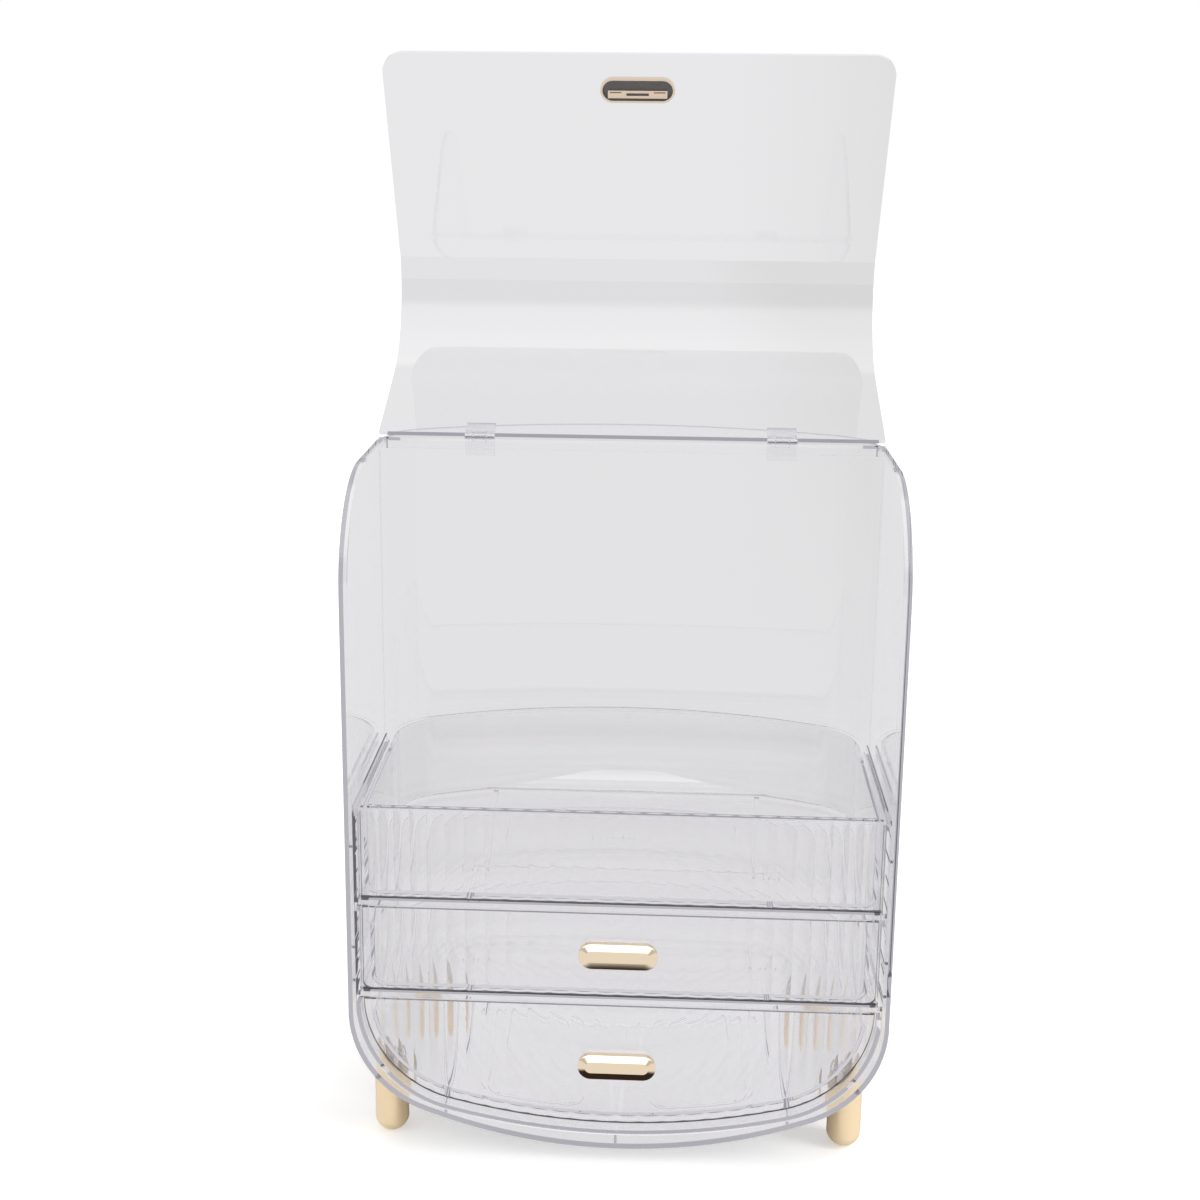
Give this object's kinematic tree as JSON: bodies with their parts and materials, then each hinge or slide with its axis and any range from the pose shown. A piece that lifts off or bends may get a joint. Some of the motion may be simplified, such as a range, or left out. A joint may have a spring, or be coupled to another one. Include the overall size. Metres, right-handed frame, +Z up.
{
  "type": "makeup organizer",
  "caption": "Clear bow-backed countertop organizer with a hinged wrap-over lid, an open tray, fluted drawers with gold handles, and gold peg feet.",
  "frame": {"origin": "bottom centre of the whole object's box with the lid open, on the surface that the feet stand on", "axes": "+X to the object's right seen from the front, +Y to the back, +Z up"},
  "size_m": [0.28, 0.2106, 0.5709],
  "materials": {
    "clear_plastic": "clear polished moulded plastic",
    "hinge_plastic": "clear moulded plastic",
    "gold_metal": "polished pale gold plate",
    "clip_metal": "polished rose gold plate",
    "gold_plastic": "satin champagne gold lacquer",
    "steel": "plain bright steel",
    "pad_rubber": "clear soft bumper"
  },
  "bodies": {
    "housing": {"housing_shell": "clear_plastic", "drawer_frame": "clear_plastic", "upper_shelf": "clear_plastic", "lower_shelf": "clear_plastic", "hinge_bracket_left": "hinge_plastic", "hinge_bracket_right": "hinge_plastic", "hinge_pin_left": "steel", "hinge_pin_right": "steel", "lid_rest_pad_left": "pad_rubber", "lid_rest_pad_right": "pad_rubber", "foot_front_left": "gold_plastic", "foot_front_right": "gold_plastic", "foot_rear_left": "gold_plastic", "foot_rear_right": "gold_plastic", "foot_screws": "steel"},
    "lid": {"lid": "clear_plastic", "lid_handle": "gold_metal", "lid_handle_clip": "clip_metal", "lid_knuckle_left": "hinge_plastic", "lid_knuckle_right": "hinge_plastic"},
    "tray": {"makeup_tray": "clear_plastic"},
    "upper_drawer": {"upper_drawer": "clear_plastic", "upper_drawer_handle": "gold_metal", "upper_drawer_handle_clip": "clip_metal"},
    "lower_drawer": {"lower_drawer": "clear_plastic", "lower_drawer_handle": "gold_metal", "lower_drawer_handle_clip": "clip_metal"}
  },
  "joints": [
    {"name": "lid_hinge", "type": "hinge", "parent": "housing", "child": "lid", "pos_m": [0, 0.01291, 0.3664], "axis": [-1, 0, 0], "range_deg": [-156, 0]},
    {"name": "tray_slide", "type": "slide", "parent": "housing", "child": "tray", "axis": [0, -1, 0], "range_m": [0, 0.11]},
    {"name": "upper_drawer_slide", "type": "slide", "parent": "housing", "child": "upper_drawer", "axis": [0, -1, 0], "range_m": [0, 0.12]},
    {"name": "lower_drawer_slide", "type": "slide", "parent": "housing", "child": "lower_drawer", "axis": [0, -1, 0], "range_m": [0, 0.12]}
  ]
}
